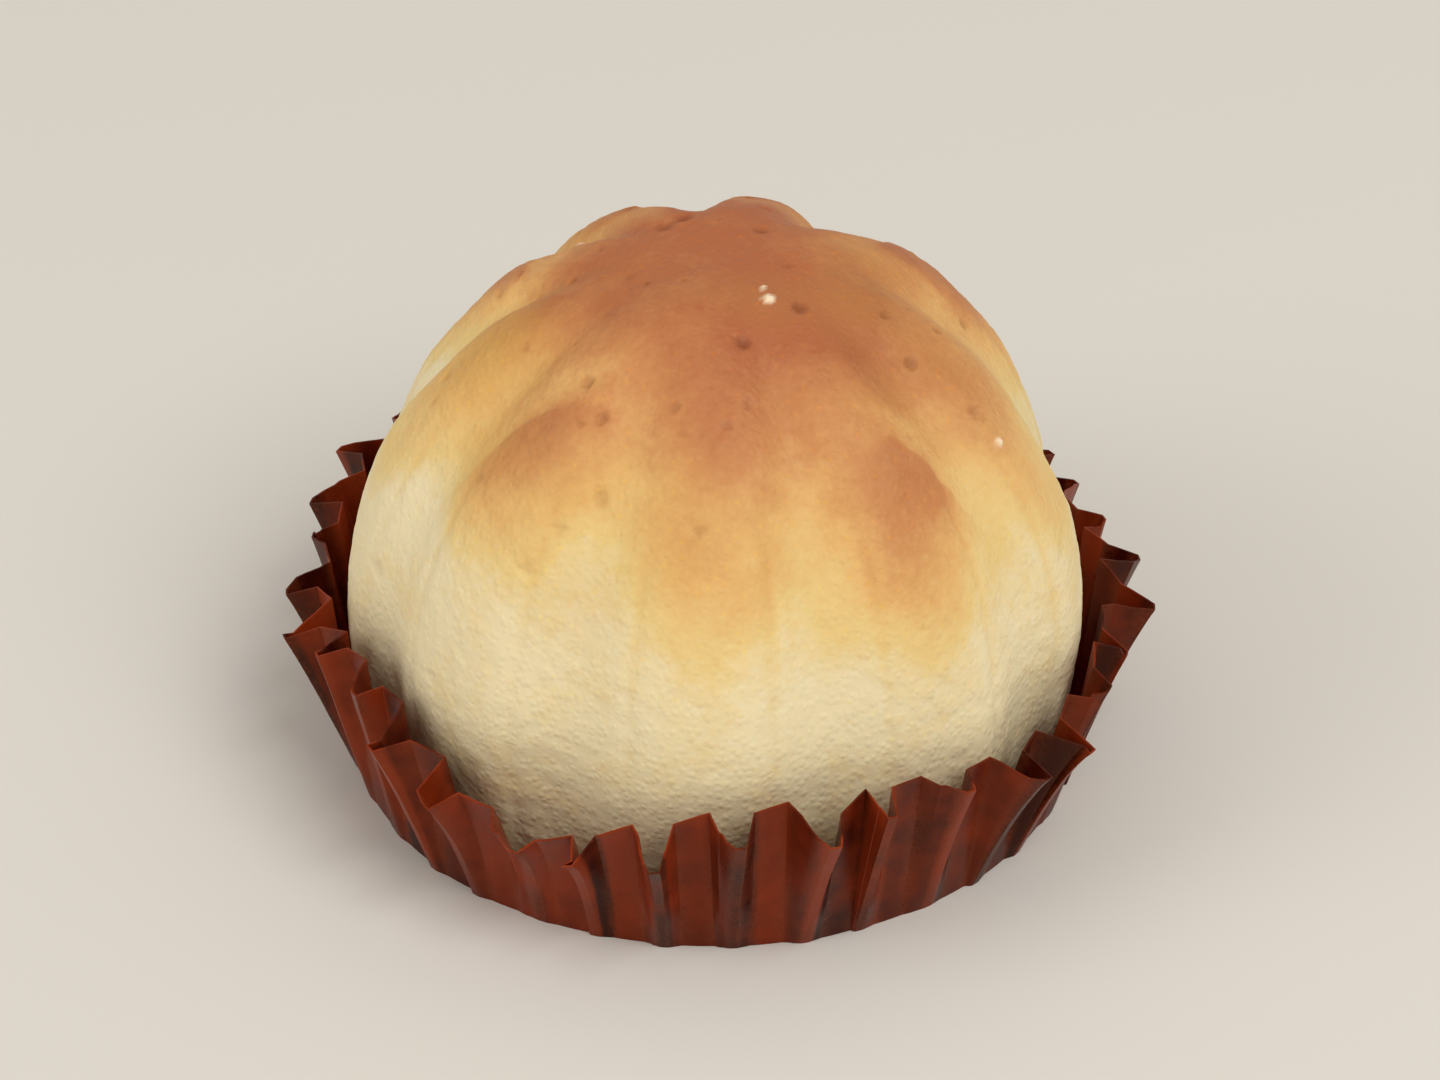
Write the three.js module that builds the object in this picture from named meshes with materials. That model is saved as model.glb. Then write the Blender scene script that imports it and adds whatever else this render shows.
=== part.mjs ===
// A maamoul: a stuffed semolina cookie pressed in a fluted mould, standing in its pleated paper case.
// Millimetres, +Z up. The origin is on the table, under the middle of the case.
// An angle round the part is counted from the front, which is -Y, towards +X.
import * as THREE from 'three';

// The cookie's outline.
const COOKIE_HEIGHT = 27.2;
const COOKIE_RADIUS = 18.5; // along the ridges, where it is widest
const WIDEST_HEIGHT = 9.3; // above its own underside
const UNDERSIDE_RADIUS = 16.2;
const DOME_ROUNDNESS = 1.8; // 2 in both of these is an ellipse
const SHOULDER_ROUNDNESS = 2.2;
const CROWN_LEAN = 0.4; // the crown sits this far towards +X of the underside's middle

// The flutes that the mould pressed.
const FLUTES = 9;
const FLUTE_DEPTH = 1.35;
const GROOVE_NARROWNESS = 2; // 1 is a plain wave, and more makes wide ridges with narrow grooves
const FLUTE_TURN = -0.12; // turns them so that a ridge faces the front, in radians of a flute's wave
const ONE_SIDED_STRAY = 1.07; // crowds the flutes on one side, in the same measure
const TWO_SIDED_STRAY = 0.62; // crowds them on two opposite sides
const CROWDED_SIDE = 0.13; // the angle of the first of those two
const FRONT_GROOVE_SHARE = 0.65; // of the depth, as the mould pressed less at the front
const BACK_GROOVE_SHARE = 1.5; // and more at the back
const DEEPER_FROM = 1.9; // how far round from the front the grooves begin to deepen, in radians
const DEEPEST_FROM = 2.8; // and from where they are deepest
const SMOOTH_CROWN_RADIUS = 4; // no flutes inside this circle of the crown
const FULL_FLUTE_RADIUS = 12.5; // and full flutes outside this one
const FOOT_FLUTE_SHARE = 0.6; // of the full depth, round the underside

// Slow waves round the dough, so that no two of its sides are alike. Each has a height, how many go
// round, and the height of dough over which it turns by a radian.
const SWELLS = [
  { height: 0.22, waves: 2, climb: 14 },
  { height: 0.13, waves: 3, climb: -9 },
  { height: 0.09, waves: 5, climb: 6 },
];
const EVEN_CROWN_RADIUS = 7; // the swells fade inside this circle of the crown

// The paper case.
const PAPER = 0.3;
const PLEATED_PAPER = 0.4; // measured along the radius, as the pleats stand aslant
const FLOOR_RADIUS = 18.1;
const WALL_HEIGHT = 9.4;
const WALL_FLARE = 0.9; // how much further out the inner folds are at the rim than at the floor
const RIM_BULGE = 0.7; // the rim strays out of round by this much, on two opposite sides
const BULGE_TURN = 1; // turns those two sides, in radians
const PLEATS = 35;
const PLEAT_DEPTH_AT_FLOOR = 0.35;
const PLEAT_DEPTH_AT_RIM = 1.9;
const PLEAT_WANDER = 0.35; // of a pleat's own depth
const PLEAT_RHYTHM = 1.7; // radians of the wander for each pleat, so that it doesn't repeat
const OUTER_FOLD_WIDTH = 0.12; // the flat along a fold, as a share of one pleat's width
const INNER_FOLD_WIDTH = 0.46; // wider, as these are the flat panels that face the cookie
const PANEL_SLANT = 0.25; // one side of a panel stands out by this share of the pleat's depth
const FOLD_WANDER = 0.09; // in the same measure
const FOLD_RHYTHM = 2.4; // radians of that wander for each pleat
const RIM_DIP = 0.75; // an outer fold leans out, so it ends this much lower than an inner one
const RIM_SLANT = 0.5; // the rim is this much higher at -X, and lower at +X
const RIM_WAVE = 0.5;
const RIM_WAVES = 5;
const SPLAYED_SIDE = -0.47; // a few pleats here are pushed out and down, in radians from the front
const SPLAY_WIDTH = 0.28;
const SPLAY_OUT = 1.2;
const SPLAY_DOWN = 2;
const GAP = 0.3; // between the cookie and the case

// How finely the solids are cut.
const COOKIE_COLUMNS = FLUTES * 16;
const FOOT_RINGS = 6;
const DOME_RINGS = 26;
const WALL_RINGS = 3;
const FOLD_CORNERS = 4; // two on an outer fold and two on an inner one

const FULL_TURN = 2 * Math.PI;
const QUARTER_TURN = Math.PI / 2;
const lerp = THREE.MathUtils.lerp;
const smoothstep = THREE.MathUtils.smoothstep;

// Turns an outline into a closed solid, then lets place(column, point) say where each corner stands.
function turnedSolid(outline, columns, place) {
  const profile = outline.map((point) => new THREE.Vector2(point.radius, point.height));
  const solid = new THREE.LatheGeometry(profile, columns);
  const position = solid.getAttribute('position');
  for (let column = 0; column <= columns; column += 1) {
    outline.forEach((point, row) => {
      const corner = place(column % columns, point);
      position.setXYZ(column * outline.length + row, corner.x, corner.y, corner.z);
    });
  }
  solid.computeVertexNormals();
  return solid;
}

function atAngle(angle, radius, height) {
  return new THREE.Vector3(radius * Math.sin(angle), -radius * Math.cos(angle), height);
}

// The outline runs over the underside, round the foot's edge and up the dome to its top.
function cookieOutline() {
  const outline = [{ radius: 0, height: 0 }, { radius: UNDERSIDE_RADIUS / 2, height: 0 }];
  for (let ring = 0; ring < FOOT_RINGS; ring += 1) {
    const turn = (ring / FOOT_RINGS) * QUARTER_TURN;
    outline.push({
      radius: lerp(UNDERSIDE_RADIUS, COOKIE_RADIUS, Math.sin(turn)),
      height: WIDEST_HEIGHT * (1 - Math.cos(turn)),
    });
  }
  for (let ring = 0; ring < DOME_RINGS; ring += 1) {
    const rise = Math.sin((ring / DOME_RINGS) * QUARTER_TURN);
    const narrowing = (1 - rise ** DOME_ROUNDNESS) ** (1 / SHOULDER_ROUNDNESS);
    outline.push({ radius: COOKIE_RADIUS * narrowing, height: lerp(WIDEST_HEIGHT, COOKIE_HEIGHT, rise) });
  }
  outline.push({ radius: 0, height: COOKIE_HEIGHT });
  return outline;
}

// 0 along the middle of each ridge and 1 along the middle of each groove.
function grooveAt(angle) {
  const stray = ONE_SIDED_STRAY * Math.cos(angle) - TWO_SIDED_STRAY * Math.cos(2 * (angle - CROWDED_SIDE));
  const wave = FLUTES * angle + stray + FLUTE_TURN;
  return Math.sin(wave / 2) ** 2;
}

// How deep the mould pressed at a place: 0 along each ridge, and no two grooves quite alike.
function pressedDepth(angle, radius, height) {
  const groove = grooveAt(angle);
  const fromFront = Math.min(angle, FULL_TURN - angle);
  const side = lerp(FRONT_GROOVE_SHARE, BACK_GROOVE_SHARE, smoothstep(fromFront, DEEPER_FROM, DEEPEST_FROM));
  const foot = lerp(FOOT_FLUTE_SHARE, 1, smoothstep(height, 0, WIDEST_HEIGHT));
  const onDome = height > WIDEST_HEIGHT;
  const crown = onDome ? smoothstep(radius, SMOOTH_CROWN_RADIUS, FULL_FLUTE_RADIUS) : 1;
  return FLUTE_DEPTH * groove ** GROOVE_NARROWNESS * side * foot * crown;
}

function swell(angle, height) {
  return SWELLS.reduce((sum, wave) =>
    sum + wave.height * Math.sin(wave.waves * angle + height / wave.climb), 0);
}

// Above the widest ring a corner moves in towards the middle of the dome, and below it straight in,
// so that the underside stays flat.
function cookieCorner(angle, point) {
  const { radius, height } = point;
  const onDome = height > WIDEST_HEIGHT;
  const even = onDome ? smoothstep(radius, 0, EVEN_CROWN_RADIUS) : 1;
  const share = height > 0 ? 1 : radius / UNDERSIDE_RADIUS;
  const inward = (pressedDepth(angle, radius, height) - even * swell(angle, height)) * share;
  const above = Math.max(0, height - WIDEST_HEIGHT);
  const reach = Math.hypot(radius, above);
  const kept = reach > 0 ? 1 - inward / reach : 1;
  const corner = atAngle(angle, radius * kept, height - above + above * kept);
  corner.x += CROWN_LEAN * (height / COOKIE_HEIGHT) ** 2;
  return corner;
}

function makeCookie() {
  const solid = turnedSolid(cookieOutline(), COOKIE_COLUMNS, (column, point) =>
    cookieCorner((column / COOKIE_COLUMNS) * FULL_TURN, point));
  const dough = new THREE.MeshStandardMaterial({ color: 0xe3bf7c, roughness: 0.8, metalness: 0 });
  const cookie = new THREE.Mesh(solid, dough);
  cookie.name = 'cookie';
  cookie.position.z = PAPER + GAP;
  return cookie;
}

// The outline runs out under the floor, up the outside, over the rim, down the inside and back in.
// A point's wall says how far up the wall it is, from 0 at the floor to 1 at the rim.
function caseOutline() {
  const outside = [];
  const inside = [];
  for (let ring = 0; ring <= WALL_RINGS; ring += 1) {
    const wall = ring / WALL_RINGS;
    const radius = FLOOR_RADIUS + wall * WALL_FLARE;
    outside.push({ radius: radius + PLEATED_PAPER, height: wall * WALL_HEIGHT, wall });
    inside.unshift({ radius, height: Math.max(PAPER, wall * WALL_HEIGHT), wall });
  }
  const under = { radius: 0, height: 0, wall: 0 };
  const floor = { radius: 0, height: PAPER, wall: 0 };
  return [under, ...outside, ...inside, floor];
}

// The first two corners of each pleat are on its outer fold, and the others on its inner one. Its share
// says how far out a corner is, from 0 for the closest to the cookie to 1 for the furthest.
function foldCorner(column) {
  const pleat = Math.floor(column / FOLD_CORNERS);
  const corner = column % FOLD_CORNERS;
  const side = corner % 2 === 0 ? -0.5 : 0.5;
  const outer = corner < 2;
  const middle = outer ? 0.25 : 0.75;
  const slanted = corner === 2 ? PANEL_SLANT : 0;
  const width = outer ? OUTER_FOLD_WIDTH : INNER_FOLD_WIDTH;
  const place = pleat + middle + side * width + FOLD_WANDER * Math.sin(FOLD_RHYTHM * pleat);
  return {
    angle: (place / PLEATS) * FULL_TURN,
    share: (outer ? 1 : slanted) * (1 + PLEAT_WANDER * Math.sin(PLEAT_RHYTHM * pleat)),
  };
}

function caseCorner(column, point) {
  const { angle, share } = foldCorner(column);
  if (point.radius === 0) {
    return atAngle(angle, 0, point.height);
  }
  const pleat = share * lerp(PLEAT_DEPTH_AT_FLOOR, PLEAT_DEPTH_AT_RIM, point.wall);
  const bulge = RIM_BULGE * point.wall * Math.sin(angle + BULGE_TURN) ** 2;
  const away = Math.asin(Math.sin((angle - SPLAYED_SIDE) / 2)) * 2;
  const splay = Math.exp(-((away / SPLAY_WIDTH) ** 2));
  const outward = point.radius + bulge + pleat + SPLAY_OUT * splay * point.wall ** 2;
  const wave = RIM_WAVE * Math.sin(RIM_WAVES * angle) - RIM_SLANT * Math.sin(angle);
  const rim = (wave - RIM_DIP * share) * point.wall ** 3 - SPLAY_DOWN * splay * point.wall ** 2;
  return atAngle(angle, outward, point.height + rim);
}

function makePaperCase() {
  const solid = turnedSolid(caseOutline(), PLEATS * FOLD_CORNERS, caseCorner);
  const paper = new THREE.MeshStandardMaterial({ color: 0x6e1d12, roughness: 0.35, metalness: 0 });
  const paperCase = new THREE.Mesh(solid, paper);
  paperCase.name = 'paper_case';
  return paperCase;
}

const maamoul = new THREE.Group();
maamoul.add(makePaperCase(), makeCookie());

// The pleats are uneven, so the part is set with the middle of its own box over the origin.
const middle = new THREE.Box3().setFromObject(maamoul, true).getCenter(new THREE.Vector3());
maamoul.position.set(-middle.x, -middle.y, 0);

export default maamoul;
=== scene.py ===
"""A maamoul in its paper case.

A stuffed semolina cookie, pressed in a fluted mould and baked, stands in its pleated paper case.
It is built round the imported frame, in metres, with +Z up and the front at -Y.
An azimuth is an angle round the part, counted from the front towards +X.
"""

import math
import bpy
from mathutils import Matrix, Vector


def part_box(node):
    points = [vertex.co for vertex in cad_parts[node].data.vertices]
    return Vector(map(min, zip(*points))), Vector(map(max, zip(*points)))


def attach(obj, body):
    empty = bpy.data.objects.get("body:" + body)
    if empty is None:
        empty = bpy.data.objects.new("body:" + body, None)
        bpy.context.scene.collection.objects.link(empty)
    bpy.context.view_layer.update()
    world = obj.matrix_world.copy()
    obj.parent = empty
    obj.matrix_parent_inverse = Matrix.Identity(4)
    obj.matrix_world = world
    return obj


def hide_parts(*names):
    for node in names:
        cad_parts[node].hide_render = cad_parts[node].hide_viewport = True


bl_info = {
    "name": "Maamoul in a Paper Case",
    "version": (1, 0, 0),
    "blender": (4, 5, 0),
    "location": "View3D > Sidebar > Maamoul",
    "description": "Presses, browns and wraps one fluted semolina cookie",
    "category": "Object",
}

import bpy
import numpy as np
from bpy.props import FloatProperty, FloatVectorProperty, IntProperty, PointerProperty
from mathutils import Vector

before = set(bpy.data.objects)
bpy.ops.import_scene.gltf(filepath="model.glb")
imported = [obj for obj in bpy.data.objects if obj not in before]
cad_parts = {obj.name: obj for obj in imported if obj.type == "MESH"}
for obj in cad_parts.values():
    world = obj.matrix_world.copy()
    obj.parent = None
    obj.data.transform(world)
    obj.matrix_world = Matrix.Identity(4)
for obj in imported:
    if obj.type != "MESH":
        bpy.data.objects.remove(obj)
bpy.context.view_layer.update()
COOKIE_LOW, COOKIE_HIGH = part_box("cookie")
CASE_LOW, CASE_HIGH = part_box("paper_case")

MM = 0.001
FULL_TURN = 2 * math.pi


def hue(red, green, blue):
    """A colour in the 255 steps of a paint chart, as the linear light that a shader takes."""

    def linear(step):
        part = step / 255
        return part / 12.92 if part <= 0.04045 else ((part + 0.055) / 1.055) ** 2.4

    return (linear(red), linear(green), linear(blue))


def length(name, description, default):
    return FloatProperty(name=name, description=description, default=default, unit="LENGTH", precision=6)


def share(name, description, default):
    return FloatProperty(name=name, description=description, default=default, subtype="FACTOR", precision=3)


def number(name, description, default):
    return FloatProperty(name=name, description=description, default=default, precision=3)


def count(name, description, default, least=0):
    return IntProperty(name=name, description=description, default=default, min=least)


def turn(name, description, radians):
    return FloatProperty(name=name, description=description, default=radians, subtype="ANGLE")


def angle(name, description, degrees):
    return turn(name, description, math.radians(degrees))


def power(name, description, default):
    return FloatProperty(name=name, description=description, default=default, unit="POWER")


def colour(name, description, red, green, blue):
    chip = hue(red, green, blue)
    return FloatVectorProperty(
        name=name, description=description, default=chip, subtype="COLOR", size=3, min=0, max=1
    )


# ---------------------------------------------------------------------------------------------------
# What a user would change
# ---------------------------------------------------------------------------------------------------


class MaamoulDough(bpy.types.PropertyGroup):
    """The cookie's form: its outline, the flutes of the mould, and how hand-shaped dough strays."""

    height: length("Height", "From the underside to the crown", COOKIE_HIGH.z - COOKIE_LOW.z)
    radius: length("Radius", "Half the width along the ridges, where it is widest", 18.5 * MM)
    widest_height: length("Widest Height", "Where it is widest, above its own underside", 9.3 * MM)
    underside_radius: length("Underside Radius", "Radius of the flat underside", 16.2 * MM)
    dome_roundness: number("Dome Roundness", "2 in this and the next is an ellipse", 1.8)
    shoulder_roundness: number("Shoulder Roundness", "More is a flatter crown over rounder shoulders", 2.2)
    crown_lean: length("Crown Lean", "How far the crown sits towards +X of the underside", 0.4 * MM)

    flutes: count("Flutes", "Ridges round the dome", 9, least=3)
    flute_depth: length("Flute Depth", "How deep the mould pressed between two ridges", 1.35 * MM)
    groove_narrowness: number("Groove Narrowness", "1 is a plain wave, and more is a narrower groove", 2)
    flute_turn: turn("Flute Turn", "Turns the flutes, where 360 degrees are one flute further", -0.12)
    one_sided_stray: turn("One-Sided Stray", "Crowds the flutes on one side, in the same measure", 1.07)
    two_sided_stray: turn("Two-Sided Stray", "Crowds them on two opposite sides", 0.62)
    crowded_side: turn("Crowded Side", "Azimuth of the first of those two", 0.13)
    front_grooves: share("Front Grooves", "Share of the depth that the grooves at the front have", 0.65)
    back_grooves: share("Back Grooves", "And the share of those at the back", 1.5)
    deeper_from: turn("Deeper From", "How far round from the front they begin to deepen", 1.9)
    deepest_from: turn("Deepest From", "And from where they are deepest", 2.8)
    smooth_crown: length("Smooth Crown", "No flutes inside this radius of the crown", 4 * MM)
    full_flutes: length("Full Flutes", "And full flutes outside this one", 12.5 * MM)
    foot_flutes: share("Foot Flutes", "Share of the full depth, round the underside", 0.6)
    even_crown: length("Even Crown", "The slow swells fade inside this radius of the crown", 7 * MM)

    lip_depth: length("Lip Depth", "Depth of the fine line along each edge of a groove", 0.11 * MM)
    lip_from: angle("Lip From", "These lines begin this far from the crown", 44)
    petal_step: length("Petal Step", "How much prouder a petal stands than the crust over it", 0.12 * MM)
    petal_edge: angle("Petal Edge", "Width of a petal's edge, seen from the dome's middle", 2)
    petal_length: angle("Petal Length", "How far down the dome a petal fades", 15)
    petal_foot: angle("Petal Foot", "No petal shows beyond this angle from the crown", 78)
    halo_width: angle("Halo Width", "Half the width of the pale band over a petal", 5.5)

    dent_size: length("Dent Size", "Width of the soft dents that handling leaves", 6 * MM)
    dent_depth: length("Dent Depth", "Depth of those dents", 0.45 * MM)
    crumb_size: length("Crumb Size", "Width of the crumb's coarse grains", 0.9 * MM)
    crumb_depth: length("Crumb Depth", "Height of those grains", 0.14 * MM)
    pits: count("Pits", "Pinholes that steam left in the crust", 70)
    pit_radius: length("Pit Radius", "Radius of the largest pits", 0.55 * MM)
    pit_depth: length("Pit Depth", "Depth of the largest pits", 0.3 * MM)
    crumb_lift: length("Crumb Lift", "How far the pale crumbs stand out", 0.25 * MM)
    seed: count("Seed", "Chooses where chance marks fall, and how each pleat strays", 11)


class MaamoulBaking(bpy.types.PropertyGroup):
    """How the oven browned the dough, and the colours it took, with some painted light and shade."""

    crown_angle: angle("Browned Crown", "The crust is brownest inside this angle of the crown", 20)
    ridge_reach: angle("Ridge Reach", "How far from the crown the browning runs down a ridge", 77)
    groove_reach: angle("Groove Reach", "And how far down a groove", 59)
    swiftness: share("Swiftness", "Less makes the browning end more suddenly low down", 0.95)
    blush: share("Blush", "The faint colour that runs further down the sides", 0.2)
    blush_from: angle("Blush From", "The blush fades from this angle of the crown", 48)
    blush_reach: angle("Blush Reach", "And it ends at this one", 94)
    groove_pallor: share("Groove Pallor", "How much paler the grooves are", 0.09)
    # Painted shade: the fine lines along the grooves are darkened as the shaded edges of the grooves.
    lip_shade: share("Lip Brown", "How much browner the fine lines along them are", 0.07)
    # Partly the oven's hotter side and partly painted shade: the crust is browner at +X and paler at -X.
    hot_and_shaded_reach: angle("Hot Reach", "It runs this much further down at +X, and less at -X", 3)
    hot_and_shaded_side: share("Hot Side", "How much browner the shoulder is at +X, and paler at -X", 0.12)
    patch: share("Patches", "How much browner a petal is under its edge", 0.24)
    halo_pallor: share("Halo Pallor", "How much paler the crust is just over a petal", 0.2)
    raw: colour("Pale Dough", "Dough low on the sides", 240, 223, 180)
    cream: colour("Cream", "Dough that has just begun to take colour", 236, 206, 138)
    gold: colour("Gold", "The golden belt under the crown", 230, 181, 112)
    toast: colour("Toast", "The toasted shoulder", 206, 140, 84)
    crown: colour("Crown", "The browned crown", 180, 104, 62)
    ochre: colour("Ochre", "The yellower places of the belt", 212, 170, 80)
    # Painted shade in the pits
    pit_shade: colour("Pit", "What the pits darken the crust by", 140, 80, 48)
    crumb: colour("Crumb", "The pale crumbs stuck to the crust", 250, 226, 190)
    roughness: share("Roughness", "Of the pale dough", 0.72)
    crown_roughness: share("Crown Roughness", "Of the browned crust, which is a little smoother", 0.52)


class MaamoulCase(bpy.types.PropertyGroup):
    """The pleated paper case."""

    paper: length("Paper", "Thickness of the paper", 0.1 * MM)
    floor_radius: length("Floor Radius", "Radius of the flat floor", 18.3 * MM)
    wall_height: length("Wall Height", "From the floor to the rim, along an inner fold", 9.4 * MM)
    wall_flare: length("Wall Flare", "How much further out the inner folds are at the rim", 0.9 * MM)
    rim_bulge: length("Rim Bulge", "How far the rim strays out of round, on two opposite sides", 0.7 * MM)
    bulge_turn: turn("Bulge Turn", "Turns those two sides", 1)
    pleats: count("Pleats", "Pleats round the wall", 35, least=8)
    depth_at_floor: length("Depth at the Floor", "Depth of a pleat where the wall begins", 0.2 * MM)
    depth_at_rim: length("Depth at the Rim", "Depth of a pleat at the rim", 2 * MM)
    pleat_wander: share("Pleat Wander", "How much the pleats differ, of their own depth", 0.35)
    pleat_rhythm: turn("Pleat Rhythm", "How far that wander moves on from pleat to pleat", 1.7)
    outer_fold: share("Outer Fold", "Flat along an outer fold, of one pleat's width", 0.12)
    inner_fold: share("Inner Fold", "Flat panel between two outer folds, in the same measure", 0.48)
    panel_slant: share("Panel Slant", "How much closer in one side of a panel is, of a pleat's depth", 0.4)
    fold_wander: share("Fold Wander", "How much the folds stray along the rim, in the same measure", 0.09)
    fold_rhythm: turn("Fold Rhythm", "How far that wander moves on from pleat to pleat", 2.4)
    rim_dip: length("Rim Dip", "An outer fold leans out, so it ends this much lower", 0.75 * MM)
    rim_slant: length("Rim Slant", "The rim is this much higher at -X, and lower at +X", 0.5 * MM)
    rim_wave: length("Rim Wave", "Height of the rim's waves", 0.5 * MM)
    rim_waves: count("Rim Waves", "Waves round the rim", 5)
    splayed_side: turn("Splayed Side", "Azimuth of a few pleats that are pushed out and down", -0.47)
    splay_width: turn("Splay Width", "Half the width of that side", 0.28)
    splay_out: length("Splay Out", "How far out they are pushed", 1.2 * MM)
    splay_down: length("Splay Down", "How far down they are pushed", 2 * MM)
    pleat_lean: share("Pleat Lean", "How far an outer fold leans over at the rim, of a pleat's width", 0.1)
    lean_stray: share("Lean Stray", "How much that lean differs from pleat to pleat", 0.08)
    crumple_size: length("Crumple Size", "Width of the paper's soft crumples", 5 * MM)
    crumple_depth: length("Crumple Depth", "Depth of those crumples", 0.12 * MM)
    # Painted light and shade: how much the panels' painted light differs, at random from panel to panel
    panel_light_stray: share("Tone Stray", "How much the panels differ in tone", 1.2)
    # Lit and shaded paper are painted light and shade on the one paper
    lit: colour("Lit Paper", "The paper where light falls on it", 156, 54, 18)
    shaded_paper: colour("Dark Paper", "The darker panels and clouds of its fibres", 54, 13, 5)
    # Partly wear and partly a painted glint along the creases
    worn_and_glint: colour("Worn Fold", "The paper along a crease", 158, 80, 48)
    glaze: colour("Glaze", "The tint of its highlights", 255, 190, 150)
    through: colour("Light Through", "The light that comes through the paper", 164, 56, 22)
    roughness: share("Roughness", "Of the glazed paper", 0.32)


class MaamoulStudio(bpy.types.PropertyGroup):
    """The floor, the soft light and the camera."""

    elevation: angle("Elevation", "How far the camera looks down", 35)
    distance: length("Distance", "From the camera to the middle of the cookie", 0.3)
    lens: number("Lens", "Focal length in millimetres", 150)
    aim_height: length("Aim Height", "What the camera looks at, above the floor", 11.5 * MM)
    floor_size: length("Floor Size", "Side of the square floor", 3)
    floor: colour("Floor", "The pale floor", 226, 221, 212)
    sky: colour("Sky", "The even light from all round", 255, 250, 243)
    sky_strength: number("Sky Strength", "How bright that light is", 0.48)
    key_power: power("Key Power", "Power of the stronger lamp", 2.9)
    fill_power: power("Fill Power", "Power of the weaker lamp", 1.5)
    lamp_size: length("Lamp Size", "Side of each square lamp", 0.45)


# ---------------------------------------------------------------------------------------------------
# Small tools
# ---------------------------------------------------------------------------------------------------


def clear_hands():
    """Leaves nothing selected, since an operator acts on all that is."""
    if bpy.context.object and bpy.context.object.mode != "OBJECT":
        bpy.ops.object.mode_set(mode="OBJECT")
    bpy.ops.object.select_all(action="DESELECT")


def points_of(piece):
    points = np.empty(len(piece.data.vertices) * 3)
    piece.data.vertices.foreach_get("co", points)
    return points.reshape(-1, 3)


def move_points(piece, points):
    piece.data.vertices.foreach_set("co", points.ravel())
    piece.data.update()


def paint(piece, name, values):
    """Keeps one value for each point, for a material to read."""
    layer = piece.data.attributes.new(name, "FLOAT", "POINT")
    layer.data.foreach_set("value", np.asarray(values, dtype=np.float32))


def smoothstep(value, low, high):
    """Goes softly from 0 at one limit to 1 at the other."""
    rise = np.clip((value - low) / (high - low), 0, 1)
    return rise * rise * (3 - 2 * rise)


def mix(first, second, amount):
    return first + (second - first) * amount


def round_the_axis(azimuth, radius, height):
    return np.stack([radius * np.sin(azimuth), -radius * np.cos(azimuth), height], axis=-1)


def middle_of(low, high):
    return (np.array(low) + np.array(high)) / 2


def ruffle(piece, name, grain, depth, detail=2, group=""):
    """Pushes the surface in and out by a cloudy pattern, and applies it."""
    clouds = bpy.data.textures.new(name, "CLOUDS")
    clouds.noise_scale = grain
    clouds.noise_depth = detail
    modifier = piece.modifiers.new(name, "DISPLACE")
    modifier.texture = clouds
    modifier.texture_coords = "LOCAL"
    modifier.strength = depth
    modifier.vertex_group = group
    apply_modifier(piece, modifier)


def apply_modifier(piece, modifier):
    bpy.context.view_layer.objects.active = piece
    if bpy.ops.object.modifier_apply(modifier=modifier.name) != {"FINISHED"}:
        raise RuntimeError(f"{piece.name} could not take its {modifier.name}")


def hand_over(piece, node):
    """The piece stands for its node of the frame, which is hidden, and hangs from the root body."""
    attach(piece, "root")
    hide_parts(node)


# ---------------------------------------------------------------------------------------------------
# Nodes of a material
# ---------------------------------------------------------------------------------------------------


def new_tree(name):
    material = bpy.data.materials.new(name)
    material.use_nodes = True
    material.node_tree.nodes.clear()
    return material, material.node_tree


def add_node(tree, kind, inputs=None, **settings):
    node = tree.nodes.new("ShaderNode" + kind)
    for name, value in settings.items():
        setattr(node, name, value)
    for socket, value in (inputs or {}).items():
        if isinstance(value, bpy.types.NodeSocket):
            tree.links.new(value, node.inputs[socket])
        else:
            node.inputs[socket].default_value = value
    return node


def math_node(tree, operation, first, second):
    return add_node(tree, "Math", {0: first, 1: second}, operation=operation).outputs[0]


def noise(tree, place, size, detail=2, roughness=0.5):
    inputs = {"Vector": place, "Scale": 1 / size, "Detail": detail, "Roughness": roughness}
    return add_node(tree, "TexNoise", inputs).outputs["Fac"]


def cells(tree, place, size):
    """Distance from the middle of the nearest of many small cells."""
    return add_node(tree, "TexVoronoi", {"Vector": place, "Scale": 1 / size}).outputs["Distance"]


def spread(tree, value, low, high):
    """Takes a value between two limits to the range from 0 to 1."""
    return add_node(tree, "MapRange", {"Value": value, "From Min": low, "From Max": high}).outputs["Result"]


def stray(tree, value, pattern, amount):
    """Adds a pattern of mean one half to a value."""
    centred = math_node(tree, "SUBTRACT", pattern, 0.5)
    return math_node(tree, "ADD", value, math_node(tree, "MULTIPLY", centred, amount))


def blend_colours(tree, amount, first, second, way="MIX"):
    node = add_node(tree, "Mix", data_type="RGBA", blend_type=way)
    for socket, value in ((node.inputs[0], amount), (node.inputs[6], first), (node.inputs[7], second)):
        if isinstance(value, bpy.types.NodeSocket):
            tree.links.new(value, socket)
        elif socket.type == "RGBA":
            socket.default_value = (*value, 1)
        else:
            socket.default_value = value
    return node.outputs[2]


def painted(tree, name):
    return add_node(tree, "Attribute", attribute_type="GEOMETRY", attribute_name=name).outputs["Fac"]


def finish_with(tree, shader):
    add_node(tree, "OutputMaterial", {"Surface": shader})


# ---------------------------------------------------------------------------------------------------
# The cookie
# ---------------------------------------------------------------------------------------------------

BALL_CUTS = (4, 24)  # each face of the cube is cut by the first, and then by the second
DOME_SHARE = 0.66  # of the descent over the ball from its top to its bottom
FOOT_SHARE = 0.16  # and the rest is the underside
# Height, number and climb of the slow waves round the dough. A wave turns by a radian over its climb.
SWELLS = ((0.22 * MM, 2, 14 * MM), (0.13 * MM, 3, -9 * MM), (0.09 * MM, 5, 6 * MM))
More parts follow.
